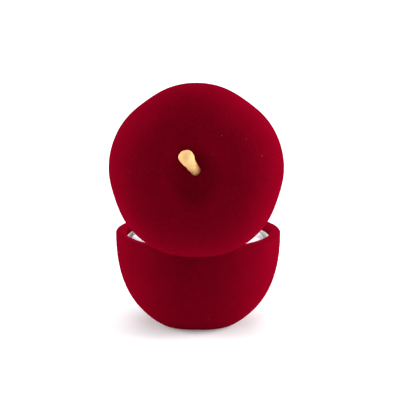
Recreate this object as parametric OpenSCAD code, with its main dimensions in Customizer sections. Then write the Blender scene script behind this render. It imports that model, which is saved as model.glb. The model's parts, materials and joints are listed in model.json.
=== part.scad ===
// Apple-shaped ring box: flocked bowl and lid on a snap hinge, with a slotted ring pad.
// Millimetres. The base rests on z = 0, the opening side faces -Y and the hinge is at +Y.
// The lid is drawn closed and then swung back by open_angle, its open stop.

/* [Apple] */
// Largest radius of the bowl, at the seam
bowl_radius = 29.3; // [29:0.1:29.6]
// Largest radius of the lid
lid_radius = 29.7; // [29.5:0.1:30]
// Height of the seam above the table
seam_height = 32.7; // [30:0.1:38]
// Height of the lid's crest above its rim
crest_height = 19.8; // [17:0.1:24]
// Radius of the crest ring around the stem
crest_radius = 13; // [12:0.5:17]
// Depth of the hollow around the stem
dimple_depth = 5; // [3:0.25:7]
// Depth of the valleys between the five lobes, as a share of the radius
lobe_depth = 0.025; // [0:0.005:0.05]
// Extra valley depth at the foot
foot_lobe_depth = 0.03; // [0:0.01:0.1]

/* [Walls] */
// Inner radius of both rims
rim_inner_radius = 25.6; // [25.2:0.1:25.7]
// Wall thickness of the lid above its rim band
lid_wall = 1.4; // [1.2:0.1:2]
// Thickness of the bowl's floor
floor_thickness = 8; // [6:0.5:9]
// Rounding of the outer rim edges
edge_round = 1; // [0.6:0.1:1.2]
// Gap between the closed rims, taken up by the flock
rim_gap = 0.15; // [0.1:0.05:0.3]

/* [Hinge] */
// Distance of the hinge axis behind the bowl's centre
axis_back = 27.7; // [27.6:0.05:27.8]
// Depth of the hinge axis below the bowl's rim
axis_drop = 1; // [0.8:0.1:1.2]
// Opening angle between the lid and the bowl
open_angle = 84; // [0:1:84]
// Radius of the hinge knuckles
knuckle_radius = 1.15; // [1.1:0.05:1.2]
// Radius of the hinge pin
pin_radius = 0.45; // [0.4:0.05:0.5]
// Half width of the hinge leaves
leaf_half = 6; // [6:0.1:6.5]

/* [Insert] */
// Width of the ring slot
slot_width = 1.2; // [0.8:0.1:2]
// Height of the pads' crown above the bowl's rim
pad_crown = 0.6; // [0:0.1:1.5]
// Thickness of the card tray
tray_wall = 0.6; // [0.4:0.1:1]
// Thickness of the lid's lining pad
lining = 1.3; // [1:0.1:2.5]

/* [Stem] */
// Length of the stem along the lid's axis
stem_height = 9.5; // [7:0.5:12]
// How far the stem's tip leans sideways
stem_lean = 6.3; // [4:0.1:9]
// Radius of the stem near its tip
stem_tip_radius = 2.3; // [2:0.05:2.8]
// Radius of the stem at its root
stem_root_radius = 1.7; // [1.4:0.05:1.9]
// Distance of the stem from the lid's centre, away from the hinge
stem_offset = 1.6; // [0:0.1:1.7]

/* [Hidden] */
$fn = 96;
lobes = 5;
lobe_sharpness = 1.06; // how narrow the valleys are
bowl_power = 2.4; // superellipse exponents of the two silhouettes
lid_power = 2.2;
cavity_power = 2.4;
bowl_reach = seam_height + 2.8; // where the bowl's curve would close below its foot
bowl_bunching = 1.35; // crowds the bowl's rows towards its foot
foot_lobe_power = 8; // how quickly the extra foot valleys fade upwards
cavity_steps = 14;
cavity_bunching = 0.7; // crowds the cavity's points towards its bottom
cavity_stop = 0.995; // share of the cavity's depth at its flat bottom
around = 70; // points round one row of a lobed skin
bowl_rows = 15;
crown_rows = 12;
dimple_rows = 7;
edge_steps = 3;

axis_z = seam_height - axis_drop;
lid_rim_z = seam_height + rim_gap;
flat_radius = 3.5; // flat spot that the stem stands on
stem_z = lid_rim_z + crest_height - dimple_depth;
band_height = 3; // thick band behind the lid's rim
leaf_thick = 0.6;
leaf_back = axis_back - 0.8; // face of each leaf that lies on the shell
leaf_front = leaf_back - leaf_thick;
leaf_reach = 6; // how far each leaf runs from the axis
wing_gap = 1.6; // the leaf's wings start this far from the axis
knuckle_gap = 0.2;
centre_half = 2.4; // half width of the lid's centre knuckle
pin_clear = 0.05;
cam_flat = 0.95; // distance of the cam's flats from the axis
pocket_radius = knuckle_radius + 0.2;
pocket_half = leaf_half + 0.8;
recess_half = leaf_half + 0.3;
recess_drop = 6.4; // depth of the bowl's hinge recess below the axis
recess_rise = 7; // height of the lid's hinge recess above the axis
spring_thick = 0.3;
spring_half = 2.2;
spring_end = 0.3; // how far the tongue reaches past the axis
spring_clear = 0.1; // gap below the tongue in its slot
tongue_z = axis_z - knuckle_radius - 0.05;
tack_x = 4.3;
tack_drop = 3.8; // tacks below the axis in the bowl, above it in the lid
tack_radius = 0.55;
tack_head_radius = 1.15;
tack_head = 0.5;
tack_bite = 1; // depth of a tack's point in the shell
peg_radius = 1.2;
washer_radius = 2.4;
washer_thick = 0.8;
hollow_flat = stem_offset + washer_radius + 0.1; // flat spot inside the lid, under the washer
peg_proud = 0.4;
tray_gap = 0.3; // gap between the tray and the bowl's wall
inset_steps = 12;
tray_top = seam_height - 2.6;
pad_radius = rim_inner_radius - tray_gap - tray_wall - 0.2;
pad_floor = 11; // height of the tray's floor
boss_radius = 7; // boss that the tray stands on
foot_rise = 0.2; // height of the rounded edge round the foot
pad_edge = 1.9; // rise of the pads from their edge to their crown
stem_rows = 16;
stem_sides = 20;
stem_rise = 3.5; // height at which the stem's centre line starts to lean
stem_growth = 1.6; // how late the stem thickens towards its tip
stem_waist = 0.08; // share by which the stem narrows in its middle
stem_lumps = 0.03; // share of the soft lumps along the stem
stem_twist = 300; // turn of the stem's oval section from root to tip
stem_oval = 0.05; // share by which the tip is oval
cap_height = 0.6; // height of the stem's rounded end as a share of its radius
dome_power = 0.7; // how full the pads' dome is
lean_heading = -61; // direction the stem leans in, measured from +X
skin = 0.01; // cutters run this far past a face

// ---- profiles ----

// share of the full radius at a heading, with a valley at the hinge
function lobe(heading, depth) =
    1 - depth * exp(lobe_sharpness * (cos(lobes * (heading - 90)) - 1));

// radius of the bowl at a depth below the seam
function bowl_curve(drop) =
    bowl_radius * pow(1 - pow(drop / bowl_reach, bowl_power), 1 / bowl_power);

// radius of the bowl's cavity at a depth below the seam
function cavity_curve(drop) =
    rim_inner_radius
        * pow(max(0, 1 - pow(drop / (seam_height - floor_thickness), cavity_power)), 1 / cavity_power);

// radius and height of the lid's side, from the rim (angle 0) to the crest (angle 90)
function side_radius(angle, outer) =
    crest_radius + (outer - crest_radius) * pow(cos(angle), 2 / lid_power);
function side_height(angle, crest) = crest * pow(sin(angle), 2 / lid_power);

// height of the crown between the crest ring and the stem
function crown_height(r, inner, crest, depth) =
    crest - depth * (1 + cos(180 * (r - inner) / (crest_radius - inner))) / 2;

// angle on the lid's side at which it has a height
function side_angle(height, crest) = asin(pow(height / crest, lid_power / 2));

// a lid-like surface as [radius, height] points, from a height on its side to the centre
function crown_points(outer, crest, depth, inner, low) =
    let (first = side_angle(low, crest))
    concat(
        [for (i = [0 : crown_rows - 1])
            let (a = first + (90 - first) * i / crown_rows)
            [side_radius(a, outer), side_height(a, crest)]],
        [for (i = [0 : dimple_rows])
            let (r = crest_radius + (inner - crest_radius) * i / dimple_rows)
            [r, crown_height(r, inner, crest, depth)]]);

// rounded edge as [radius, height] points, from the flat face out to the side wall
function edge_points(radius) =
    [for (i = [0 : edge_steps - 1])
        let (a = 90 * i / edge_steps)
        [radius - edge_round * (1 - sin(a)), edge_round * (1 - cos(a))]];

// ---- building blocks ----

// closed skin through rows of points, each row as [radius, height, valley depth]
module lobed_skin(rows) {
    points = [for (row = rows, i = [0 : around - 1])
        let (h = 90 + 360 * i / around, r = row[0] * lobe(h, row[2]))
        [r * cos(h), r * sin(h), row[1]]];
    faces = concat(
        [[for (i = [0 : around - 1]) i]],
        [for (j = [0 : len(rows) - 2], i = [0 : around - 1])
            let (k = (i + 1) % around, low = j * around, high = low + around)
            [low + i, high + i, high + k, low + k]],
        [[for (i = [around - 1 : -1 : 0]) (len(rows) - 1) * around + i]]);
    polyhedron(points, faces);
}

// block from a low corner to a high corner
module block(low, high) {
    translate(low) cube(high - low);
}

// cylinder along X through the hinge axis
module hinge_rod(radius, x1, x2) {
    translate([x1, axis_back, axis_z]) rotate([0, 90, 0]) cylinder(r = radius, h = x2 - x1);
}

// places a lid piece, drawn closed, at its open stop
module opened() {
    translate([0, axis_back, axis_z])
        rotate([-open_angle, 0, 0])
            translate([0, -axis_back, -axis_z])
                children();
}

// tack along Y with its head's back face on y = 0 and its point towards +Y
module tack(x, y, z, length) {
    translate([x, y, z]) rotate([-90, 0, 0]) {
        cylinder(r = tack_radius, h = length);
        translate([0, 0, -tack_head]) cylinder(r = tack_head_radius, h = tack_head);
    }
}

// ---- shells ----

module bowl_outside() {
    deepest = seam_height - foot_rise;
    drops = [for (i = [0 : bowl_rows])
        edge_round + (deepest - edge_round) * (1 - pow(i / bowl_rows, bowl_bunching))];
    rows = concat(
        [[bowl_curve(seam_height) - foot_rise, 0, lobe_depth + foot_lobe_depth]],
        [for (d = drops)
            [bowl_curve(d), seam_height - d,
                lobe_depth + foot_lobe_depth * pow(d / deepest, foot_lobe_power)]],
        [for (i = [edge_steps - 1 : -1 : 0])
            let (p = edge_points(bowl_radius)[i])
            [p[0], seam_height - p[1], lobe_depth]]);
    lobed_skin(rows);
}

module bowl_cavity() {
    deep = cavity_stop * (seam_height - floor_thickness);
    rotate_extrude()
        polygon(concat(
            [[0, seam_height + 1], [rim_inner_radius, seam_height + 1]],
            [for (i = [0 : cavity_steps])
                let (d = deep * pow(i / cavity_steps, cavity_bunching))
                [cavity_curve(d), seam_height - d]],
            [[0, seam_height - deep]]));
}

module bowl_shell() {
    color("#7a0018")
    difference() {
        bowl_outside();
        difference() {
            bowl_cavity();
            cylinder(r = boss_radius, h = pad_floor - tray_wall);
        }
        hinge_rod(pocket_radius, -pocket_half, pocket_half);
        block([-pocket_half, axis_back, axis_z], [pocket_half, bowl_radius + 2, seam_height + 1]);
        block([-recess_half, leaf_front - 2, axis_z - recess_drop],
            [recess_half, leaf_back, seam_height + 1]);
        block([-spring_half - 0.3, leaf_back - skin, tongue_z - spring_thick - spring_clear],
            [spring_half + 0.3, axis_back + spring_end + spring_clear, axis_z]);
        for (side = [-1, 1])
            translate([side * tack_x, leaf_back - 1, axis_z - tack_drop])
                rotate([-90, 0, 0])
                    cylinder(r = tack_radius, h = 1 + tack_bite);
    }
}

module lid_outside() {
    rows = concat(
        [for (p = edge_points(lid_radius)) [p[0], p[1], lobe_depth]],
        [for (p = crown_points(lid_radius, crest_height, dimple_depth, flat_radius, edge_round))
            [p[0], p[1], lobe_depth * min(1, p[0] / crest_radius)]]);
    translate([0, 0, lid_rim_z]) lobed_skin(rows);
}

// inner face of the lid above its band, as [radius, height above the rim]
function lid_inner() =
    crown_points(lid_radius * (1 - lobe_depth) - lid_wall, crest_height - lid_wall,
        dimple_depth, hollow_flat, band_height);

module lid_cavity() {
    points = lid_inner();
    translate([0, 0, lid_rim_z])
        rotate_extrude()
            polygon(concat(
                [[0, -1], [rim_inner_radius, -1], [rim_inner_radius, band_height]],
                points,
                [[0, points[len(points) - 1][1]]]));
}

module lid_shell() {
    color("#7a0018")
    opened()
    difference() {
        lid_outside();
        difference() {
            lid_cavity();
            block([-pocket_half, leaf_back, lid_rim_z],
                [pocket_half, lid_radius, axis_z + recess_rise + 1]);
        }
        hinge_rod(pocket_radius, -pocket_half, pocket_half);
        block([-recess_half, leaf_front - 2, lid_rim_z - 1],
            [recess_half, leaf_back, axis_z + recess_rise]);
        translate([0, -stem_offset, stem_z - 5]) cylinder(r = peg_radius, h = 10);
        for (side = [-1, 1])
            translate([side * tack_x, leaf_back - 1, axis_z + tack_drop])
                rotate([-90, 0, 0])
                    cylinder(r = tack_radius, h = 1 + tack_bite);
    }
}

// ---- stem ----

// centre line of the stem, a quadratic curve that starts upright, and its angle from upright
function stem_lean_at(t) = stem_lean * t * t;
function stem_height_at(t) = 2 * stem_rise * t * (1 - t) + stem_height * t * t;
function stem_angle(t) = atan2(stem_lean * t, stem_rise * (1 - 2 * t) + stem_height * t);

// radius along the stem: a waist above the root, a club end with a few soft lumps
function stem_radius(t) =
    (stem_root_radius + (stem_tip_radius - stem_root_radius) * pow(t, stem_growth))
        * (1 - stem_waist * sin(180 * t) + stem_lumps * sin(900 * t));

module stem() {
    cap_rows = 4;
    body = [for (i = [0 : stem_rows - 1]) let (t = i / stem_rows) [t, stem_radius(t), 0]];
    cap = [for (i = [0 : cap_rows])
        let (a = 80 * i / cap_rows)
        [1, stem_radius(1) * cos(a), cap_height * stem_radius(1) * sin(a)]];
    rows = concat(body, cap);
    points = [for (row = rows, i = [0 : stem_sides - 1])
        let (t = row[0],
            b = stem_angle(t),
            w = 360 * i / stem_sides,
            r = row[1] * (1 + stem_oval * t * sin(2 * w + stem_twist * t)),
            out = stem_lean_at(t) + r * cos(w) * cos(b) + row[2] * sin(b),
            up = stem_height_at(t) - r * cos(w) * sin(b) + row[2] * cos(b))
        [out, r * sin(w), up]];
    faces = concat(
        [[for (i = [0 : stem_sides - 1]) i]],
        [for (j = [0 : len(rows) - 2], i = [0 : stem_sides - 1])
            let (k = (i + 1) % stem_sides, low = j * stem_sides, high = low + stem_sides)
            [low + i, high + i, high + k, low + k]],
        [[for (i = [stem_sides - 1 : -1 : 0]) (len(rows) - 1) * stem_sides + i]]);
    color("#f0cd92")
    opened() {
        translate([0, -stem_offset, stem_z])
            rotate([0, 0, lean_heading])
                polyhedron(points, faces);
        translate([0, -stem_offset, stem_z - lid_wall - washer_thick - peg_proud])
            cylinder(r = peg_radius, h = lid_wall + washer_thick + peg_proud + 0.3);
    }
}

module stem_washer() {
    color("#c8cacc")
    opened()
    translate([0, -stem_offset, stem_z - lid_wall - washer_thick])
    difference() {
        cylinder(r = washer_radius, h = washer_thick);
        translate([0, 0, -1]) cylinder(r = peg_radius, h = washer_thick + 2);
    }
}

// ---- hinge ----

module hinge_leaf_bowl() {
    color("#c9b27a")
    difference() {
        union() {
            block([-leaf_half, leaf_front, axis_z - leaf_reach],
                [leaf_half, leaf_back, tongue_z - spring_thick - 0.05]);
            for (side = [-1, 1]) {
                inner = side * (centre_half + knuckle_gap);
                outer = side * leaf_half;
                block([min(inner, outer), leaf_front, axis_z - leaf_reach],
                    [max(inner, outer), leaf_back, axis_z]);
                hinge_rod(knuckle_radius, min(inner, outer), max(inner, outer));
            }
        }
        hinge_rod(pin_radius, -leaf_half - 1, leaf_half + 1);
        for (side = [-1, 1])
            translate([side * tack_x, leaf_front - 1, axis_z - tack_drop])
                rotate([-90, 0, 0])
                    cylinder(r = tack_radius, h = leaf_thick + 2);
    }
}

module hinge_leaf_lid() {
    color("#c9b27a")
    opened()
    difference() {
        union() {
            block([-leaf_half, leaf_front, axis_z + wing_gap],
                [leaf_half, leaf_back, axis_z + leaf_reach]);
            block([-centre_half, leaf_front, axis_z], [centre_half, leaf_back, axis_z + wing_gap]);
            hinge_rod(knuckle_radius, -centre_half, centre_half);
        }
        hinge_rod(pin_radius + pin_clear, -centre_half - 1, centre_half + 1);
        // flats of the snap cam: one faces the spring when closed, one when open
        for (turn = [0, open_angle])
            translate([0, axis_back, axis_z])
                rotate([turn, 0, 0])
                    block([-centre_half - 1, -2, -3], [centre_half + 1, 2, -cam_flat]);
        for (side = [-1, 1])
            translate([side * tack_x, leaf_front - 1, axis_z + tack_drop])
                rotate([-90, 0, 0])
                    cylinder(r = tack_radius, h = leaf_thick + 2);
    }
}

module hinge_pin() {
    head = 0.4;
    color("#d6d8da") {
        hinge_rod(pin_radius, -leaf_half - head, leaf_half + head);
        hinge_rod(pin_radius + 0.4, -leaf_half - head, -leaf_half);
        hinge_rod(pin_radius + 0.4, leaf_half, leaf_half + head);
    }
}

module hinge_spring() {
    base_half = leaf_half - 0.7;
    color("#a9adb2")
    difference() {
        union() {
            block([-base_half, leaf_front - spring_thick, axis_z - leaf_reach + 0.4],
                [base_half, leaf_front, axis_z - tack_drop + 1.4]);
            block([-spring_half, leaf_front - spring_thick, axis_z - tack_drop],
                [spring_half, leaf_front, tongue_z]);
            block([-spring_half, leaf_front - spring_thick, tongue_z - spring_thick],
                [spring_half, axis_back + spring_end, tongue_z]);
        }
        for (side = [-1, 1])
            translate([side * tack_x, leaf_front - 1, axis_z - tack_drop])
                rotate([-90, 0, 0])
                    cylinder(r = tack_radius, h = 2);
    }
}

module bowl_tack(side) {
    color("#d6d8da")
    tack(side * tack_x, leaf_front - spring_thick, axis_z - tack_drop,
        spring_thick + leaf_thick + tack_bite);
}

module lid_tack(side) {
    color("#d6d8da")
    opened()
    tack(side * tack_x, leaf_front, axis_z + tack_drop, leaf_thick + tack_bite);
}

// ---- insert ----

// bowl cavity curve moved inwards, as [radius, height] points from a height down to the tray floor
function inset_points(inset, high, low) =
    [for (i = [0 : inset_steps])
        let (z = high + (low - high) * i / inset_steps)
        [cavity_curve(seam_height - z) - tray_gap - inset, z]];

module insert_tray() {
    color("#f4f1ec")
    rotate_extrude()
        polygon(concat(
            [[0, pad_floor]],
            [for (i = [inset_steps : -1 : 0]) inset_points(tray_wall, tray_top, pad_floor)[i]],
            inset_points(0, tray_top, pad_floor - tray_wall),
            [[0, pad_floor - tray_wall]]));
}

// both pads as one domed block; half keeps the front (-1) or the rear (1)
module ring_pad(half) {
    crown = seam_height + pad_crown;
    edge = crown - pad_edge;
    steps = 8;
    dome = [for (i = [0 : steps])
        let (a = 90 * i / steps)
        [(pad_radius - 0.1) * sin(a), edge + pad_edge * pow(cos(a), dome_power)]];
    color("#f7f5f1")
    intersection() {
        rotate_extrude()
            polygon(concat(
                dome,
                inset_points(tray_wall + 0.1, tray_top, pad_floor),
                [[0, pad_floor]]));
        translate([-50, half > 0 ? slot_width / 2 : -50 - slot_width / 2, 0]) cube([100, 50, 60]);
    }
}

module lid_lining() {
    outer = lid_inner();
    inner = crown_points(lid_radius * (1 - lobe_depth) - lid_wall - lining,
        crest_height - lid_wall - lining, dimple_depth + 0.6, hollow_flat, band_height);
    color("#f7f5f1")
    opened()
    difference() {
        translate([0, 0, lid_rim_z])
            rotate_extrude()
                polygon(concat(
                    outer,
                    [[0, outer[len(outer) - 1][1]], [0, inner[len(inner) - 1][1]]],
                    [for (i = [len(inner) - 1 : -1 : 0]) inner[i]]));
        block([-pocket_half - 0.4, 15, lid_rim_z - 1],
            [pocket_half + 0.4, lid_radius + 1, axis_z + recess_rise + 1.4]);
        translate([0, -stem_offset, stem_z - lid_wall - washer_thick - peg_proud])
            cylinder(r = washer_radius, h = 5);
    }
}

bowl_shell();
lid_shell();
stem();
stem_washer();
hinge_leaf_bowl();
hinge_leaf_lid();
hinge_pin();
hinge_spring();
bowl_tack(-1);  // bowl_tack_left
bowl_tack(1);  // bowl_tack_right
lid_tack(-1);  // lid_tack_left
lid_tack(1);  // lid_tack_right
insert_tray();
ring_pad(-1);  // ring_pad_front
ring_pad(1);  // ring_pad_rear
lid_lining();
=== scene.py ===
"""Flocked ring box shaped like an apple: finishes and soft parts round the CAD model."""

import json
import math

import bmesh
import bpy
from bpy.props import FloatProperty, FloatVectorProperty, IntProperty, PointerProperty
from mathutils import Matrix, Vector, noise


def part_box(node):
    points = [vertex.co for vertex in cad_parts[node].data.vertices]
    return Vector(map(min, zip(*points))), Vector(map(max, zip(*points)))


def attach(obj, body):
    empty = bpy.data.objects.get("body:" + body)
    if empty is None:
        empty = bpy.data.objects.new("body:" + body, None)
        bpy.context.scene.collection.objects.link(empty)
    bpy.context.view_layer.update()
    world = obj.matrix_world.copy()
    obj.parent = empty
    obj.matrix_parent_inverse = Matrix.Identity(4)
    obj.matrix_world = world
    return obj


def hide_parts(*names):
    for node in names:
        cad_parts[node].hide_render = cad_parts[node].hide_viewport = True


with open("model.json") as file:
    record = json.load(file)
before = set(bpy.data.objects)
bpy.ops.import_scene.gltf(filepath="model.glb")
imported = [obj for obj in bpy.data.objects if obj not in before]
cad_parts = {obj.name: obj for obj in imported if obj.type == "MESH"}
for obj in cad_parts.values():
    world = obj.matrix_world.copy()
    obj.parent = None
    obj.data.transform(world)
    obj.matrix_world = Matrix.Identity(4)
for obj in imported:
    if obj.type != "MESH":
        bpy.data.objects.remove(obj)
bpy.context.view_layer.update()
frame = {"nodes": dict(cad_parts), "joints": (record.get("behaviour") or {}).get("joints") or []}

bl_info = {
    "name": "Fruit Ring Box",
    "version": (1, 0, 0),
    "blender": (4, 5, 0),
    "location": "View3D > Sidebar > Ring Box",
    "description": "Builds a flocked fruit-shaped ring box with its pads, lining, stem and studio",
    "category": "Object",
}

MM = 0.001
HINGE = frame["joints"][0]
AXIS = Vector(HINGE["pos_m"])
OPEN_ANGLE = HINGE["range_deg"][1]
CREASE = math.radians(40)  # faces that meet at a larger angle keep a crisp edge

# shells
SEAM = AXIS.z + 1 * MM  # top of the bowl's rim
LID_RIM = SEAM + 0.15 * MM  # underside of the closed lid's rim
LOBES = 5
LOBE_SHARPNESS = 1.06  # more makes the valleys between the lobes narrower
BOWL_POWER = 2.4  # 2 is an ellipse, more is fuller
LID_POWER = 2.2
BOWL_REACH = SEAM + 2.8 * MM  # depth at which the bowl's curve would close
CAVITY_SHARE = 0.985  # part of the cavity's depth that is lofted, down to a small flat
HOLLOW_FLAT = 3.5 * MM  # radius of the flat round the stem, outside
INNER_FLAT = 4.1 * MM  # the same flat on the lid's inside
TRAY_WALL = 0.6 * MM

# recesses for the hinge
CLEAR = 1 * MM  # cutters go past a surface by this
POCKET_RADIUS = 1.35 * MM  # room for the knuckles in both shells
POCKET_HALF = 6.8 * MM
RECESS_HALF = 6.3 * MM  # recess that the leaves lie in
RECESS_FRONT = 3.4 * MM  # from the hinge axis to the recess's inner face
LEAF_BACK = 0.8 * MM  # from the hinge axis to the leaves' outer faces
LEAF_DROP = 6.4 * MM  # from the hinge axis to the bottom of the bowl's leaf
LEAF_RISE = 7 * MM  # from the hinge axis to the top of the lid's leaf
SPRING_HALF = 2.5 * MM

# pads, while they are simulated
SIM_SCALE = 10
PRESSURE = 4
SIM_STEPS = 20
VOXEL = 0.7 * MM
SWELL_CAP = 0.4 * MM  # no point moves further than this
PAD_SLACK = 0.3 * MM  # the pads start this much smaller all round


# ---------------------------------------------------------------- settings


def length(name, description, default):
    """A size in metres that a user may change."""
    return FloatProperty(name=name, description=description, default=default, min=0.0,
                         precision=5, subtype="DISTANCE", unit="LENGTH")


def colour(name, description, default):
    """A linear colour that a user may change."""
    return FloatVectorProperty(name=name, description=description, default=default, size=3,
                               min=0.0, max=1.0, subtype="COLOR")


class ShellSizes(bpy.types.PropertyGroup):
    """Sizes of the two shells."""

    bowl_radius: length("Bowl radius", "Largest radius of the bowl, at the seam", 29.3 * MM)
    lid_radius: length("Lid radius", "Largest radius of the lid", 29.7 * MM)
    crest_height: length("Crest height", "Lid's crest above its rim", 19.8 * MM)
    crest_radius: length("Crest radius", "Radius of the crest ring round the stem", 13 * MM)
    dimple_depth: length("Dimple depth", "Depth of the hollow round the stem", 5 * MM)
    rim_inner: length("Rim inner radius", "Inner radius of both rims", 25.6 * MM)
    edge_round: length("Outer edge", "Rounding of the rims' outer edges", 1 * MM)
    inner_round: length("Inner edge", "Rounding of the rims' inner edges", 0.5 * MM)
    lid_wall: length("Lid wall", "Wall thickness of the lid", 1.4 * MM)
    band_height: length("Band height", "Height of the thick band behind the lid's rim", 3 * MM)
    floor_thickness: length("Floor", "Thickness of the bowl's floor", 8 * MM)
    lobe_depth: FloatProperty(name="Lobe depth", default=0.025, min=0.0, max=0.1,
                              description="Depth of the valleys as a share of the radius")
    foot_lobe_depth: FloatProperty(name="Foot lobe depth", default=0.03, min=0.0, max=0.1,
                                   description="Extra depth of the valleys at the foot")
    around: IntProperty(name="Points around", default=240, min=40, max=600,
                        description="Points round one row of a shell")


class SoftSizes(bpy.types.PropertyGroup):
    """Sizes of the pads, the lining and the stem."""

    pad_radius: length("Pad radius", "Outer radius of the ring pads", 24.5 * MM)
    pad_crown: length("Pad crown", "Top of the pads above the bowl's rim", 0.6 * MM)
    pad_drop: length("Pad drop", "Fall of the pads from their crown to their edge", 1.9 * MM)
    pad_floor: length("Pad floor", "Height of the pads' underside", 11 * MM)
    pad_tilt: FloatProperty(name="Pad tilt", default=math.radians(2.0), subtype="ANGLE",
                            description="Slope of the pads' tops, rising towards +X")
    slot_width: length("Slot", "Width of the ring slot", 1.2 * MM)
    lining: length("Lining", "Thickness of the lid's lining", 1.3 * MM)
    stem_height: length("Stem height", "Length of the stem along the lid's axis", 9.5 * MM)
    stem_lean: length("Stem lean", "How far the stem's tip leans sideways", 6.3 * MM)
    stem_rise: length("Stem rise", "Height at which the stem starts to lean", 3.5 * MM)
    stem_offset: length("Stem offset", "Stem to the lid's centre, away from the hinge", 1.6 * MM)
    stem_root: length("Stem root", "Radius of the stem at its root", 1.7 * MM)
    stem_tip: length("Stem tip", "Radius of the stem near its tip", 2.3 * MM)
    stem_heading: FloatProperty(name="Stem heading", default=math.radians(-61), subtype="ANGLE",
                                description="Direction the stem leans in, from +X")


class FinishColours(bpy.types.PropertyGroup):
    """Colours of the finishes."""

    pile: colour("Pile", "Red flock seen face on", (0.080, 0.0003, 0.0044))
    pile_deep: colour("Deep pile", "Red flock where it is pressed or thin",
                      (0.060, 0.0002, 0.0033))
    pile_sheen: colour("Pile sheen", "Tint of the flock's sheen", (1.0, 0.002, 0.042))
    pile_tips: colour("Pile tips", "Lighter ends of the flock's fibres", (0.135, 0.0004, 0.0070))
    lint: colour("Lint", "Dust caught in the flock", (0.36, 0.09, 0.10))
    stem_light: colour("Stem", "Stem towards its tip", (0.75, 0.445, 0.168))
    # painted shade: the stem's colour darkened where its root sits in the lid's hollow
    stem_root_shade: colour("Stem root", "Stem at its root", (0.36, 0.14, 0.046))
    stem_warm: colour("Stem blotches", "Warmer blotches on the stem", (0.70, 0.40, 0.15))
    stem_pale: colour("Stem fibres", "Paler fibres along the stem", (0.95, 0.76, 0.46))
    velvet: colour("White velvet", "Ring pads and lining", (0.85, 0.815, 0.88))
    # painted shade: a greyer copy of the white velvet
    velvet_painted_shade: colour("Pressed velvet", "Velvet whose pile lies flat", (0.72, 0.70, 0.69))
    card: colour("Card", "Tray that holds the pads", (0.80, 0.78, 0.73))
    brass: colour("Hinge", "Plated hinge leaves", (0.72, 0.53, 0.24))
    steel: colour("Steel", "Pin, spring and tacks", (0.62, 0.62, 0.64))
    floor: colour("Floor", "Studio floor", (0.90, 0.90, 0.91))
    sky: colour("Surround", "Light from all round", (0.93, 0.96, 1.0))


class StudioSettings(bpy.types.PropertyGroup):
    """Camera and lights."""

    distance: length("Camera distance", "Camera to its target", 0.645)
    elevation: FloatProperty(name="Elevation", default=math.radians(12.36), subtype="ANGLE",
                             description="Camera above the horizon")
    swing: FloatProperty(name="Swing", default=math.radians(-1.16), subtype="ANGLE",
                         description="Camera off the plane of symmetry, towards -X")
    target_side: FloatProperty(name="Target side", default=-0.69 * MM, unit="LENGTH",
                               description="Target off the plane of symmetry")
    target_height: length("Target height", "Target above the seam", 10.86 * MM)
    lens: FloatProperty(name="Lens", default=165.0, min=20.0,
                        description="Focal length in millimetres")
    surround: FloatProperty(name="Surround light", default=0.6, min=0.0,
                            description="Strength of the light from all round")
    top: FloatProperty(name="Top light", default=3.2, min=0.0,
                       description="Power of the large light overhead, in watts")
    key: FloatProperty(name="Key light", default=1.0, min=0.0,
                       description="Power of the light above the hinge side, in watts")
    left: FloatProperty(name="Left light", default=3.8, min=0.0,
                        description="Power of the light on the +X side, in watts")
    right: FloatProperty(name="Right light", default=6.3, min=0.0,
                         description="Power of the light on the -X side, in watts")
    front: FloatProperty(name="Opening light", default=1.3, min=0.0,
                         description="Power of the light on the box's opening side, in watts")
    behind: FloatProperty(name="Background light", default=14.0, min=0.0,
                          description="Power of the light on the far floor, in watts")


# ---------------------------------------------------------------- shape rules


def lobe(heading, depth):
    """Share of the full radius at a heading, with a valley at the hinge."""
    turn = math.cos(LOBES * (heading - math.pi / 2))
    return 1 - depth * math.exp(LOBE_SHARPNESS * (turn - 1))


def bowl_curve(size, drop):
    """Radius of the bowl at a depth below the seam."""
    return size.bowl_radius * (1 - (drop / BOWL_REACH) ** BOWL_POWER) ** (1 / BOWL_POWER)


def cavity_curve(size, drop):
    """Radius of the bowl's cavity at a depth below the seam."""
    deep = SEAM - size.floor_thickness
    return size.rim_inner * max(0.0, 1 - (drop / deep) ** BOWL_POWER) ** (1 / BOWL_POWER)


def crown_rows(size, outer, crest, depth, inner, low, side_rows, hollow_rows):
    """Rows (radius, height) of a lid-like surface from a height on its side to its centre."""
    power = 2 / LID_POWER
    first = math.asin((low / crest) ** (LID_POWER / 2))
    rows = []
    for i in range(side_rows):
        a = first + (math.pi / 2 - first) * i / side_rows
        rows.append((size.crest_radius + (outer - size.crest_radius) * math.cos(a) ** power,
                     crest * math.sin(a) ** power))
    for i in range(hollow_rows + 1):
        r = size.crest_radius + (inner - size.crest_radius) * i / hollow_rows
        wave = 1 + math.cos(math.pi * (r - inner) / (size.crest_radius - inner))
        rows.append((r, crest - depth * wave / 2))
    return rows


def arc(centre, radius, start, end, steps):
    """Points (radius, height) of an arc, with both angles in degrees."""
    points = []
    for i in range(steps + 1):
        a = math.radians(start + (end - start) * i / steps)
        points.append((centre[0] + radius * math.cos(a), centre[1] + radius * math.sin(a)))
    return points


# ---------------------------------------------------------------- mesh tools


def new_object(name, mesh):
    """An object of the mesh, in the scene."""
    piece = bpy.data.objects.new(name, mesh)
    bpy.context.scene.collection.objects.link(piece)
    return piece


def smooth(mesh):
    """Smooth faces all over the mesh."""
    for polygon in mesh.polygons:
        polygon.use_smooth = True


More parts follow.
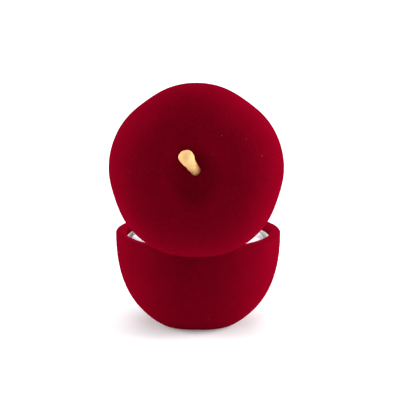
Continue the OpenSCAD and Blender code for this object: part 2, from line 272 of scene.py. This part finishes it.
def loft(name, rows, around, place):
    """Closed mesh through rows; place(row, heading) gives a point, and both ends close on one."""
    verts = [place(rows[0], 0.0)]
    for row in rows[1:-1]:
        verts += [place(row, math.pi / 2 + 2 * math.pi * i / around) for i in range(around)]
    verts.append(place(rows[-1], 0.0))
    last = len(verts) - 1
    top = 1 + (len(rows) - 3) * around
    faces = []
    for i in range(around):
        k = (i + 1) % around
        faces.append((0, 1 + k, 1 + i))
        for j in range(len(rows) - 3):
            low = 1 + j * around
            faces.append((low + i, low + k, low + around + k, low + around + i))
        faces.append((top + i, top + k, last))
    mesh = bpy.data.meshes.new(name)
    mesh.from_pydata(verts, [], faces)
    mesh.validate()
    smooth(mesh)
    mesh.set_sharp_from_angle(angle=CREASE)
    return new_object(name, mesh)


def cutter(maker):
    """Cutter object from a bmesh, which is then freed."""
    mesh = bpy.data.meshes.new("cutter")
    maker.to_mesh(mesh)
    maker.free()
    return new_object("cutter", mesh)


def block(low, high):
    """Cutter box between two corners."""
    maker = bmesh.new()
    centre = (Vector(low) + Vector(high)) / 2
    span = Vector(high) - Vector(low)
    bmesh.ops.create_cube(maker, size=1.0,
                          matrix=Matrix.Translation(centre) @ Matrix.Diagonal((*span, 1)))
    return cutter(maker)


def knuckle_rod():
    """Cutter rod along the hinge axis, for the knuckles."""
    maker = bmesh.new()
    turn = Matrix.Rotation(math.pi / 2, 4, "Y")
    bmesh.ops.create_cone(maker, cap_ends=True, segments=48, radius1=POCKET_RADIUS,
                          radius2=POCKET_RADIUS, depth=2 * POCKET_HALF,
                          matrix=Matrix.Translation((0, AXIS.y, AXIS.z)) @ turn)
    return cutter(maker)


def cut(piece, cutters):
    """Takes each cutter out of the piece and removes the cutter."""
    for tool in cutters:
        modifier = piece.modifiers.new("cut", "BOOLEAN")
        modifier.object = tool
        modifier.solver = "EXACT"
        piece.data = applied(piece)
        bpy.data.objects.remove(tool)
    if not piece.data.polygons:
        raise RuntimeError(f"{piece.name} has no faces left after its cuts")
    smooth(piece.data)
    piece.data.set_sharp_from_angle(angle=CREASE)


def applied(piece):
    """The piece's mesh with its modifiers applied, which are then taken off."""
    graph = bpy.context.evaluated_depsgraph_get()
    mesh = bpy.data.meshes.new_from_object(piece.evaluated_get(graph))
    piece.modifiers.clear()
    return mesh


def swell(piece):
    """Cloth simulation that plumps a closed pad by pressure and moves no point beyond the cap.

    The solver suits pads of half a metre, so the pad is simulated at SIM_SCALE times its size.
    """
    scene = bpy.context.scene
    piece.data.transform(Matrix.Scale(SIM_SCALE, 4))
    even = piece.modifiers.new("even", "REMESH")
    even.mode = "VOXEL"
    even.voxel_size = VOXEL * SIM_SCALE
    piece.data = applied(piece)
    start = [vertex.co.copy() for vertex in piece.data.vertices]
    cloth = piece.modifiers.new("cloth", "CLOTH").settings
    cloth.use_pressure = True
    cloth.uniform_pressure_force = PRESSURE
    cloth.effector_weights.gravity = 0
    cloth.quality = 6
    for step in range(1, SIM_STEPS + 1):
        scene.frame_set(step)
    piece.data = applied(piece)
    scene.frame_set(1)
    for vertex, first in zip(piece.data.vertices, start):
        move = vertex.co - first
        if move.length > SWELL_CAP * SIM_SCALE:
            vertex.co = first + move.normalized() * SWELL_CAP * SIM_SCALE
    piece.modifiers.new("finer", "SUBSURF").levels = 1
    piece.data = applied(piece)
    piece.data.transform(Matrix.Scale(1 / SIM_SCALE, 4))
    smooth(piece.data)


def swing_open(piece):
    """Turns a piece that was built on the closed lid to its open rest."""
    turn = Matrix.Rotation(math.radians(-OPEN_ANGLE), 4, "X")
    piece.data.transform(Matrix.Translation(AXIS) @ turn @ Matrix.Translation(-AXIS))


def finish_piece(piece, body, node, material):
    """Gives a piece its finish, its body and the CAD node that it stands for."""
    piece.data.materials.clear()
    piece.data.materials.append(material)
    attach(piece, body)
    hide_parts(node)


# ---------------------------------------------------------------- materials


class Finish:
    """A node material with short calls for the nodes it needs."""

    def __init__(self, name):
        """A new material, whose patterns follow the piece's own coordinates."""
        self.material = bpy.data.materials.new(name)
        self.material.use_nodes = True
        self.tree = self.material.node_tree
        self.shader = self.tree.nodes["Principled BSDF"]
        self.place = self.tree.nodes.new("ShaderNodeTexCoord").outputs["Object"]

    def set(self, **values):
        """Sets constants on the shader's own sockets, with _ for the spaces in their names."""
        for name, value in values.items():
            self.shader.inputs[name.replace("_", " ")].default_value = value

    def link(self, source, target):
        """Feeds an output into an input."""
        self.tree.links.new(source, target)

    def noise(self, size, detail=3.0, rough=0.5, stretch=(1, 1, 1)):
        """Noise whose blobs have a size in metres, stretched along the axes."""
        mapping = self.tree.nodes.new("ShaderNodeMapping")
        mapping.inputs["Scale"].default_value = stretch
        self.link(self.place, mapping.inputs["Vector"])
        node = self.tree.nodes.new("ShaderNodeTexNoise")
        node.inputs["Scale"].default_value = 1 / size
        node.inputs["Detail"].default_value = detail
        node.inputs["Roughness"].default_value = rough
        self.link(mapping.outputs["Vector"], node.inputs["Vector"])
        return node.outputs["Fac"]

    def ramp(self, source, low, high, start=0.0, end=1.0):
        """Maps a value between two limits to a range."""
        node = self.tree.nodes.new("ShaderNodeMapRange")
        node.inputs["From Min"].default_value = low
        node.inputs["From Max"].default_value = high
        node.inputs["To Min"].default_value = start
        node.inputs["To Max"].default_value = end
        self.link(source, node.inputs["Value"])
        return node.outputs["Result"]

    def mix(self, share, first, second):
        """Mixes two colours or sockets by a share."""
        node = self.tree.nodes.new("ShaderNodeMix")
        node.data_type = "RGBA"
        first_colour, second_colour, result = node.inputs[6], node.inputs[7], node.outputs[2]
        for socket, value in ((first_colour, first), (second_colour, second)):
            if isinstance(value, bpy.types.NodeSocket):
                self.link(value, socket)
            else:
                socket.default_value = (*value, 1)
        self.link(share, node.inputs["Factor"])
        return result

    def height(self, source, depth, strength=1.0):
        """Bump of a depth in metres."""
        node = self.tree.nodes.new("ShaderNodeBump")
        node.inputs["Distance"].default_value = depth
        node.inputs["Strength"].default_value = strength
        self.link(source, node.inputs["Height"])
        self.link(node.outputs["Normal"], self.shader.inputs["Normal"])


def red_flock(colours):
    """Short dense red pile: brushed patches, fine grain, a little caught lint and a sheen."""
    finish = Finish("flock_finish")
    patches = finish.ramp(finish.noise(9 * MM, detail=2.0), 0.35, 0.68)
    base = finish.mix(patches, tuple(colours.pile_deep), tuple(colours.pile))
    grain = finish.noise(0.55 * MM, detail=2.0, rough=0.6)
    grainy = finish.mix(finish.ramp(grain, 0.3, 0.72, end=0.7), base, tuple(colours.pile_tips))
    specks = finish.tree.nodes.new("ShaderNodeTexVoronoi")
    specks.inputs["Scale"].default_value = 1 / (5.5 * MM)
    finish.link(finish.place, specks.inputs["Vector"])
    dots = finish.ramp(specks.outputs["Distance"], 0.035, 0.02)
    finish.link(finish.mix(finish.ramp(dots, 0, 1, end=0.5), grainy, tuple(colours.lint)),
                finish.shader.inputs["Base Color"])
    finish.set(Roughness=1.0, Specular_IOR_Level=0.0, Sheen_Weight=0.18, Sheen_Roughness=0.8,
               Sheen_Tint=(*colours.pile_sheen, 1))
    finish.height(grain, 0.10 * MM, 0.55)
    return finish.material


def white_velvet(colours):
    """White pile of the ring pads and the lining, with soft random blotches of painted shade."""
    finish = Finish("velvet_finish")
    grain = finish.noise(0.35 * MM, detail=2.0, rough=0.6)
    soft = finish.noise(6 * MM, detail=2.0)
    tone = finish.mix(finish.ramp(grain, 0.3, 0.7), tuple(c * 0.93 for c in colours.velvet),
                      tuple(colours.velvet))
    # painted shade: soft random blotches of the greyer velvet over the pads and the lining
    shaded = finish.mix(finish.ramp(soft, 0.4, 0.75, end=0.18), tone,
                        tuple(colours.velvet_painted_shade))
    finish.link(shaded, finish.shader.inputs["Base Color"])
    finish.set(Roughness=0.95, Specular_IOR_Level=0.1, Sheen_Weight=0.35, Sheen_Roughness=0.5)
    finish.height(grain, 0.08 * MM, 0.5)
    return finish.material


def stem_resin(colours):
    """Pale hand-rolled stem with painted shade darkening its root in the lid's hollow, and soft
    creases along it.
    """
    finish = Finish("stem_finish")
    root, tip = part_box("stem")
    split = finish.tree.nodes.new("ShaderNodeSeparateXYZ")
    finish.link(finish.place, split.inputs[0])
    # painted shade: the stem is darkened towards its root, fading to its own colour further along
    along = finish.ramp(split.outputs["Y"], root.y + 5.2 * MM, root.y + 10.2 * MM)
    blotches = finish.noise(1.6 * MM, rough=0.6)
    fibres = finish.noise(0.5 * MM, rough=0.6, stretch=(1.0, 0.35, 0.6))
    body = finish.mix(along, tuple(colours.stem_root_shade), tuple(colours.stem_light))
    warm = finish.mix(finish.ramp(blotches, 0.45, 0.75, end=0.45), body,
                      tuple(colours.stem_warm))
    pale = finish.mix(finish.ramp(fibres, 0.5, 0.75, end=0.35), warm, tuple(colours.stem_pale))
    finish.link(pale, finish.shader.inputs["Base Color"])
    finish.link(finish.ramp(blotches, 0.3, 0.7, 0.5, 0.72), finish.shader.inputs["Roughness"])
    finish.set(Specular_IOR_Level=0.35, Subsurface_Weight=0.12, Subsurface_Scale=1 * MM,
               Subsurface_Radius=(1.0, 0.5, 0.25))
    finish.height(fibres, 0.12 * MM, 0.6)
    return finish.material


def metal(name, tint, rough, stretch):
    """Stamped or drawn metal with fine marks along its grain."""
    finish = Finish(name)
    marks = finish.noise(0.25 * MM, detail=4.0, rough=0.6, stretch=stretch)
    wear = finish.noise(1.5 * MM)
    dark = tuple(c * 0.82 for c in tint)
    finish.link(finish.mix(finish.ramp(wear, 0.35, 0.7), dark, tuple(tint)),
                finish.shader.inputs["Base Color"])
    finish.link(finish.ramp(marks, 0.3, 0.7, rough - 0.08, rough + 0.12),
                finish.shader.inputs["Roughness"])
    finish.set(Metallic=1.0)
    finish.height(marks, 0.01 * MM, 0.4)
    return finish.material


def tray_card(colours):
    """Off-white pressed card with short fibres."""
    finish = Finish("card_finish")
    fibres = finish.noise(0.4 * MM, detail=4.0, rough=0.65, stretch=(1.0, 1.0, 0.4))
    finish.link(finish.mix(finish.ramp(fibres, 0.35, 0.7), tuple(c * 0.88 for c in colours.card),
                           tuple(colours.card)), finish.shader.inputs["Base Color"])
    finish.set(Roughness=0.9, Specular_IOR_Level=0.2)
    finish.height(fibres, 0.03 * MM, 0.5)
    return finish.material


def studio_floor(colours):
    """Plain pale sheet."""
    finish = Finish("floor_finish")
    tone = finish.noise(90 * MM, detail=2.0)
    finish.link(finish.mix(finish.ramp(tone, 0.3, 0.7), tuple(c * 0.985 for c in colours.floor),
                           tuple(colours.floor)), finish.shader.inputs["Base Color"])
    finish.set(Roughness=0.85, Specular_IOR_Level=0.1, Emission_Color=(1, 1, 1, 1),
               Emission_Strength=0.15)
    return finish.material


MAKERS = {"flock_finish": red_flock, "velvet_finish": white_velvet,
          "stem_finish": stem_resin, "card_finish": tray_card, "floor_finish": studio_floor}


def material_for(scene, name):
    """The named finish, made the first time it is asked for."""
    made = bpy.data.materials.get(name)
    if made is None:
        made = MAKERS[name](scene.ringbox_colours)
    return made


# ---------------------------------------------------------------- pieces


class RINGBOX_OT_bowl(bpy.types.Operator):
    """Flocked bowl with its rounded rim, its cavity and the hinge recess"""

    bl_idname = "ringbox.bowl"
    bl_label = "Bowl"

    def execute(self, context):
        size = context.scene.ringbox_sizes
        edge, inner = size.edge_round, size.inner_round
        deep = (SEAM - size.floor_thickness) * CAVITY_SHARE
        boss_radius, chamfer = 7 * MM, 0.2 * MM
        boss_top = context.scene.ringbox_soft.pad_floor - TRAY_WALL
        # rows (radius, height, lobe depth) from the boss under the tray, over the rim, to the foot
        rows = [(0, boss_top, 0), (boss_radius - chamfer, boss_top, 0),
                (boss_radius, boss_top - chamfer, 0), (boss_radius, SEAM - deep, 0)]
        cavity_rows = 24
        for i in range(cavity_rows, 0, -1):
            drop = inner + (deep - inner) * (i / cavity_rows) ** 0.8
            rows.append((cavity_curve(size, drop), SEAM - drop, 0))
        centre = (size.rim_inner + inner, SEAM - inner)
        rows += [(r, z, 0) for r, z in arc(centre, inner, 180, 90, 5)]
        centre = (size.bowl_radius - edge, SEAM - edge)
        rows += [(r, z, size.lobe_depth) for r, z in arc(centre, edge, 90, 0, 8)]
        foot_rise = 0.2 * MM
        deepest = SEAM - foot_rise
        side_rows, crowding, foot_reach = 64, 1.35, 8
        for i in range(1, side_rows + 1):
            drop = edge + (deepest - edge) * (1 - (1 - i / side_rows) ** crowding)
            depth = size.lobe_depth + size.foot_lobe_depth * (drop / deepest) ** foot_reach
            rows.append((bowl_curve(size, drop), SEAM - drop, depth))
        depth = size.lobe_depth + size.foot_lobe_depth
        foot = bowl_curve(size, SEAM) - foot_rise
        rows += [(foot + 0.1 * MM, 0.05 * MM, depth), (foot - 0.15 * MM, 0, depth),
                 (foot * 0.6, 0, depth), (0, 0, 0)]

        def place(row, heading):
            r = row[0] * lobe(heading, row[2])
            return (r * math.cos(heading), r * math.sin(heading), row[1])

        bowl = loft("bowl", rows, size.around, place)
        bowl.data.flip_normals()
        outside, above = AXIS.y + 4 * MM, SEAM + CLEAR
        cut(bowl, [
            knuckle_rod(),
            block((-POCKET_HALF, AXIS.y, AXIS.z), (POCKET_HALF, outside, above)),
            block((-RECESS_HALF, AXIS.y - RECESS_FRONT, AXIS.z - LEAF_DROP),
                  (RECESS_HALF, AXIS.y - LEAF_BACK, above)),
            block((-SPRING_HALF, AXIS.y - 0.9 * MM, AXIS.z - 1.6 * MM),
                  (SPRING_HALF, AXIS.y + 0.4 * MM, AXIS.z)),
        ])
        finish_piece(bowl, "bowl", "bowl_shell",
                     material_for(context.scene, "flock_finish"))
        return {"FINISHED"}


class RINGBOX_OT_lid(bpy.types.Operator):
    """Flocked lid with its crest, its hollow round the stem and the hinge recess"""

    bl_idname = "ringbox.lid"
    bl_label = "Lid"

    def execute(self, context):
        size = context.scene.ringbox_sizes
        edge, inner, wall = size.edge_round, size.inner_round, size.lid_wall
        round_radius = size.lid_radius * (1 - size.lobe_depth) - wall
        inside = crown_rows(size, round_radius, size.crest_height - wall, size.dimple_depth,
                            INNER_FLAT, size.band_height, 24, 14)
        # rows (radius, height above the rim, lobe depth) from the inside, round the rim, to the top
        rows = [(0, inside[-1][1], 0)] + [(r, h, 0) for r, h in reversed(inside)]
        chamfer = 0.1 * MM
        rows.append((size.rim_inner + chamfer, size.band_height, 0))
        rows.append((size.rim_inner, size.band_height - chamfer, 0))
        rows += [(r, h, 0) for r, h in arc((size.rim_inner + inner, inner), inner, 180, 270, 5)]
        centre = (size.lid_radius - edge, edge)
        rows += [(r, h, size.lobe_depth) for r, h in arc(centre, edge, 270, 360, 8)]
        outside = crown_rows(size, size.lid_radius, size.crest_height, size.dimple_depth,
                             HOLLOW_FLAT, edge * 1.15, 56, 26)
        rows += [(r, h, size.lobe_depth * min(1, r / size.crest_radius)) for r, h in outside]
        rows.append((0, outside[-1][1], 0))

        def place(row, heading):
            r = row[0] * lobe(heading, row[2])
            return (r * math.cos(heading), r * math.sin(heading), LID_RIM + row[1])

        lid = loft("lid", rows, size.around, place)
        cut(lid, [
            knuckle_rod(),
            block((-RECESS_HALF, AXIS.y - RECESS_FRONT, LID_RIM - CLEAR),
                  (RECESS_HALF, AXIS.y - LEAF_BACK, AXIS.z + LEAF_RISE)),
        ])
        swing_open(lid)
        finish_piece(lid, "lid", "lid_shell",
                     material_for(context.scene, "flock_finish"))
        return {"FINISHED"}


class RINGBOX_OT_stem(bpy.types.Operator):
    """Pale club-shaped stem that curves over to one side"""

    bl_idname = "ringbox.stem"
    bl_label = "Stem"

    def execute(self, context):
        soft = context.scene.ringbox_soft
        size = context.scene.ringbox_sizes
        base = LID_RIM + size.crest_height - size.dimple_depth
        body_rows, cap_rows = 64, 14
        # rows (share of the length, radius, distance past the end)
        rows = [(0.0, 0.0, 0.0), (0.0, soft.stem_root * 0.9, 0.0)]
        for i in range(1, body_rows):
            rows.append((i / body_rows, self.radius_at(soft, i / body_rows), 0.0))
        widest = self.radius_at(soft, 1.0)
        cap_length = 0.6 * widest
        for i in range(cap_rows):
            a = math.radians(86 * i / cap_rows)
            rows.append((1.0, widest * math.cos(a), cap_length * math.sin(a)))
        rows.append((1.0, 0.0, cap_length))
        turn = Matrix.Rotation(soft.stem_heading, 3, "Z")

        def place(row, heading):
            t, r, ahead = row
            angle = math.atan2(soft.stem_lean * t,
                               soft.stem_rise * (1 - 2 * t) + soft.stem_height * t)
            r *= 1 + 0.05 * t * math.sin(2 * heading + 5.2 * t)
            side = soft.stem_lean * t * t
            up = 2 * soft.stem_rise * t * (1 - t) + soft.stem_height * t * t
            point = Vector((side + r * math.cos(heading) * math.cos(angle)
                            + ahead * math.sin(angle), r * math.sin(heading),
                            up - r * math.cos(heading) * math.sin(angle)
                            + ahead * math.cos(angle)))
            lump = noise.noise(point * 420) * 0.22 * MM + noise.noise(point * 1300) * 0.08 * MM
            outward = point - Vector((side, 0, up))
            if outward.length > 0 and t > 0:
                point += outward.normalized() * lump
            return turn @ point + Vector((0, -soft.stem_offset, base))

        stem = loft("stem_piece", rows, 48, place)
        swing_open(stem)
        finish_piece(stem, "lid", "stem",
                     material_for(context.scene, "stem_finish"))
        return {"FINISHED"}

    def radius_at(self, soft, t):
        """Radius along the stem: a waist above the root and a club end."""
        grown = soft.stem_root + (soft.stem_tip - soft.stem_root) * t ** 1.6
        return grown * (1 - 0.08 * math.sin(math.pi * t) + 0.03 * math.sin(5 * math.pi * t))


class RINGBOX_OT_pads(bpy.types.Operator):
    """Two velvet-wrapped foam pads with the ring slot between them"""

    bl_idname = "ringbox.pads"
    bl_label = "Ring pads"

    def execute(self, context):
        for side, name in ((-1, "front"), (1, "rear")):
            self.make_pad(context.scene, side, name)
        return {"FINISHED"}

    def make_pad(self, scene, side, name):
        """One half: a D-shaped crowned pad whose edges roll over and tuck down."""
        soft, size = scene.ringbox_soft, scene.ringbox_sizes
        radius, flat = soft.pad_radius - PAD_SLACK, soft.slot_width / 2 + PAD_SLACK
        middle = radius * 0.42
        edge_z = SEAM + soft.pad_crown - soft.pad_drop - PAD_SLACK
        rise = soft.pad_drop * 0.97
        roll = 1.8 * MM
        corner = 9  # more makes the corners beside the slot sharper

        def reach(heading):
            """Distance from the pad's middle to its outline."""
            c, s = math.cos(heading), math.sin(heading)
            ring = -middle * s + math.sqrt(radius ** 2 - (middle * c) ** 2)
            inverse = (1 / ring) ** corner
            if s < 0:
                inverse += (-s / (middle - flat)) ** corner
            return inverse ** (-1 / corner)

        # rows (share of the outline, height) from the underside, up the wall, over the edge
        rows = [(0.0, soft.pad_floor)]
        wall_steps, roll_steps = 11, 9
        for i in range(wall_steps + 1):
            z = soft.pad_floor + (edge_z - roll - soft.pad_floor) * (i / wall_steps)
            share = cavity_curve(size, SEAM - z) / size.rim_inner
            rows.append((share if i > 0 else share * 0.97, z))
        for i in range(1, roll_steps):
            a = math.radians(90 * i / roll_steps)
            rows.append((1 - roll * (1 - math.cos(a)) / radius, edge_z - roll * (1 - math.sin(a))))
        crown_steps = 26
        for i in range(crown_steps):
            s = (1 - roll / radius) * (1 - i / crown_steps)
            rows.append((s, edge_z + rise * (1 - s ** 2.4) ** 0.8))
        rows.append((0.0, edge_z + rise))

        def place(row, heading):
            share, z = row
            r = share * reach(heading)
            point = Vector((r * math.cos(heading), middle + r * math.sin(heading), z))
            if z > edge_z - roll and share > 0:
                tuck = max(0.0, share - 0.6) / 0.4
                point.z += (noise.noise(point * 260) * 0.12 + math.sin(heading * 23) * 0.05
                            * tuck) * MM
            point.y *= side
            share_up = (z - soft.pad_floor) / (edge_z - soft.pad_floor)
            point.z += point.x * math.tan(soft.pad_tilt) * share_up
            return point

        pad = loft(f"ring_pad_{name}_velvet", rows, 160, place)
        if side < 0:
            pad.data.flip_normals()
        swell(pad)
        finish_piece(pad, "bowl", f"ring_pad_{name}",
                     material_for(scene, "velvet_finish"))


class RINGBOX_OT_lining(bpy.types.Operator):
    """Thin padded lining gathered round its edge inside the lid"""

    bl_idname = "ringbox.lining"
    bl_label = "Lid lining"

    def execute(self, context):
        size, soft = context.scene.ringbox_sizes, context.scene.ringbox_soft
        outer = size.lid_radius * (1 - size.lobe_depth) - size.lid_wall
        crest = size.crest_height - size.lid_wall
        back = crown_rows(size, outer, crest, size.dimple_depth, INNER_FLAT, size.band_height,
                          20, 12)
        face = crown_rows(size, outer - soft.lining, crest - soft.lining,
                          size.dimple_depth + 0.6 * MM, INNER_FLAT, size.band_height, 40, 24)
        pocket = back[-1][1] - 1.3 * MM
        glue = 0.02 * MM
        # rows (radius, height above the rim, 1 on the shown face) from the washer's pocket
        rows = [(0, pocket, 0), (INNER_FLAT - 0.05 * MM, pocket, 0)]
        rows += [(r, h - glue, 0) for r, h in reversed(back)]
        rows += [(r, h, 1) for r, h in face]
        rows.append((0, face[-1][1], 1))
        gathers, plain_radius = 36, 12 * MM

        def place(row, heading):
            r, h, shown = row
            if shown and r > 0:
                near = max(0.0, (r - plain_radius) / (outer - plain_radius)) ** 2
                fold = math.sin(gathers * heading) + 0.5 * math.sin(11 * heading + 1)
                r -= (fold * 0.16 * near + 0.12 * near) * MM
                h -= noise.noise(Vector((math.cos(heading), math.sin(heading), h * 300))) * 0.1 * MM
            return (r * math.cos(heading), r * math.sin(heading), LID_RIM + h)

        lining = loft("lid_lining_velvet", rows, 288, place)
        half = POCKET_HALF + 0.4 * MM
        cut(lining, [block((-half, 15 * MM, LID_RIM - CLEAR),
                           (half, 31 * MM, AXIS.z + LEAF_RISE + 1.4 * MM))])
        swing_open(lining)
        finish_piece(lining, "lid", "lid_lining",
                     material_for(context.scene, "velvet_finish"))
        return {"FINISHED"}


class RINGBOX_OT_hardware(bpy.types.Operator):
    """Finishes on the hinge, its pin, spring and tacks, the stem's washer and the tray"""

    bl_idname = "ringbox.hardware"
    bl_label = "Hinge and tray finishes"

    def execute(self, context):
        colours = context.scene.ringbox_colours
        brass = metal("leaf_finish", colours.brass, 0.32, (0.15, 1.0, 1.0))
        steel = metal("steel_finish", colours.steel, 0.24, (0.3, 1.0, 1.0))
        spring = metal("spring_finish", tuple(c * 0.8 for c in colours.steel), 0.34,
                       (1.0, 1.0, 0.15))
        finishes = {
            "hinge_leaf_bowl": brass, "hinge_leaf_lid": brass, "hinge_pin": steel,
            "hinge_spring": spring, "bowl_tack_left": steel, "bowl_tack_right": steel,
            "lid_tack_left": steel, "lid_tack_right": steel, "stem_washer": steel,
            "insert_tray": material_for(context.scene, "card_finish"),
        }
        for node, material in finishes.items():
            for entry in frame["nodes"][node].material_slots:
                entry.material = material
        return {"FINISHED"}


class RINGBOX_OT_stage(bpy.types.Operator):
    """Pale floor, soft studio lights and the camera"""

    bl_idname = "ringbox.stage"
    bl_label = "Studio"

    def execute(self, context):
        scene = context.scene
        studio, colours = scene.ringbox_studio, scene.ringbox_colours
        scene.view_settings.view_transform = "Standard"
        self.make_floor(scene)
        self.make_surround(scene, studio, colours)
        self.make_lights(scene, studio)
        self.make_camera(scene, studio)
        return {"FINISHED"}

    def make_floor(self, scene):
        mesh = bpy.data.meshes.new("floor")
        half = 6.0
        mesh.from_pydata([(-half, -half, 0), (half, -half, 0), (half, half, 0), (-half, half, 0)],
                         [], [(0, 1, 2, 3)])
        mesh.materials.append(material_for(scene, "floor_finish"))
        new_object("floor", mesh)

    def make_surround(self, scene, studio, colours):
        world = bpy.data.worlds.new("surround")
        world.use_nodes = True
        sky = world.node_tree.nodes["Background"]
        sky.inputs["Color"].default_value = (*colours.sky, 1)
        sky.inputs["Strength"].default_value = studio.surround
        scene.world = world

    def make_lights(self, scene, studio):
        middle = Vector((0, 0, SEAM))
        far = Vector((0, -2.2, 0))  # the floor behind the box
        lamps = (  # name, place, width, power, what it points at
            ("top", (0.0, -0.05, 0.95), 0.8, studio.top, middle),
            ("key", (0.0, 0.5, 0.75), 0.6, studio.key, middle),
            ("left_side", (0.65, -0.05, 0.25), 0.4, studio.left, middle),
            ("right_side", (-0.65, -0.05, 0.25), 0.4, studio.right, middle),
            ("opening", (0.0, -0.7, 0.45), 0.6, studio.front, middle),
            ("background", (0.0, -0.9, 0.8), 0.8, studio.behind, far),
        )
        for name, spot, span, power, aim in lamps:
            light = bpy.data.lights.new(name, "AREA")
            light.shape = "SQUARE"
            light.size = span
            light.energy = power
            lamp = bpy.data.objects.new(name, light)
            lamp.location = spot
            lamp.rotation_euler = (aim - Vector(spot)).to_track_quat("-Z", "Y").to_euler()
            scene.collection.objects.link(lamp)

    def make_camera(self, scene, studio):
        data = bpy.data.cameras.new("camera")
        data.lens = studio.lens
        data.sensor_width = 36.0
        data.clip_start = 0.01
        camera = bpy.data.objects.new("camera", data)
        scene.collection.objects.link(camera)
        e, s = studio.elevation, studio.swing
        ahead = Vector((-math.sin(s) * math.cos(e), -math.cos(s) * math.cos(e), -math.sin(e)))
        target = Vector((studio.target_side, 0, SEAM + studio.target_height))
        turn = ahead.to_track_quat("-Z", "Y").to_matrix().to_4x4()
        camera.matrix_world = Matrix.Translation(target - ahead * studio.distance) @ turn
        scene.camera = camera


# ---------------------------------------------------------------- add-on


OPERATORS = (RINGBOX_OT_bowl, RINGBOX_OT_lid, RINGBOX_OT_stem, RINGBOX_OT_pads, RINGBOX_OT_lining,
             RINGBOX_OT_hardware, RINGBOX_OT_stage)


class RINGBOX_PT_panel(bpy.types.Panel):
    """Lists the pieces of the ring box and its settings"""

    bl_idname = "RINGBOX_PT_panel"
    bl_label = "Fruit Ring Box"
    bl_space_type = "VIEW_3D"
    bl_region_type = "UI"
    bl_category = "Ring Box"

    def draw(self, context):
        for operator in OPERATORS:
            self.layout.operator(operator.bl_idname)
        for group in (context.scene.ringbox_sizes, context.scene.ringbox_soft,
                      context.scene.ringbox_colours, context.scene.ringbox_studio):
            box = self.layout.box()
            for name in group.__annotations__:
                box.prop(group, name)


CLASSES = (ShellSizes, SoftSizes, FinishColours, StudioSettings, *OPERATORS, RINGBOX_PT_panel)
GROUPS = {"ringbox_sizes": ShellSizes, "ringbox_soft": SoftSizes,
          "ringbox_colours": FinishColours, "ringbox_studio": StudioSettings}


def register():
    for item in CLASSES:
        bpy.utils.register_class(item)
    for name, group in GROUPS.items():
        setattr(bpy.types.Scene, name, PointerProperty(type=group))


def unregister():
    for name in GROUPS:
        delattr(bpy.types.Scene, name)
    for item in reversed(CLASSES):
        bpy.utils.unregister_class(item)


def main():
    register()
    bpy.ops.ringbox.bowl()
    bpy.ops.ringbox.lid()
    bpy.ops.ringbox.stem()
    bpy.ops.ringbox.pads()
    bpy.ops.ringbox.lining()
    bpy.ops.ringbox.hardware()
    bpy.ops.ringbox.stage()


if __name__ == "__main__":
    main()
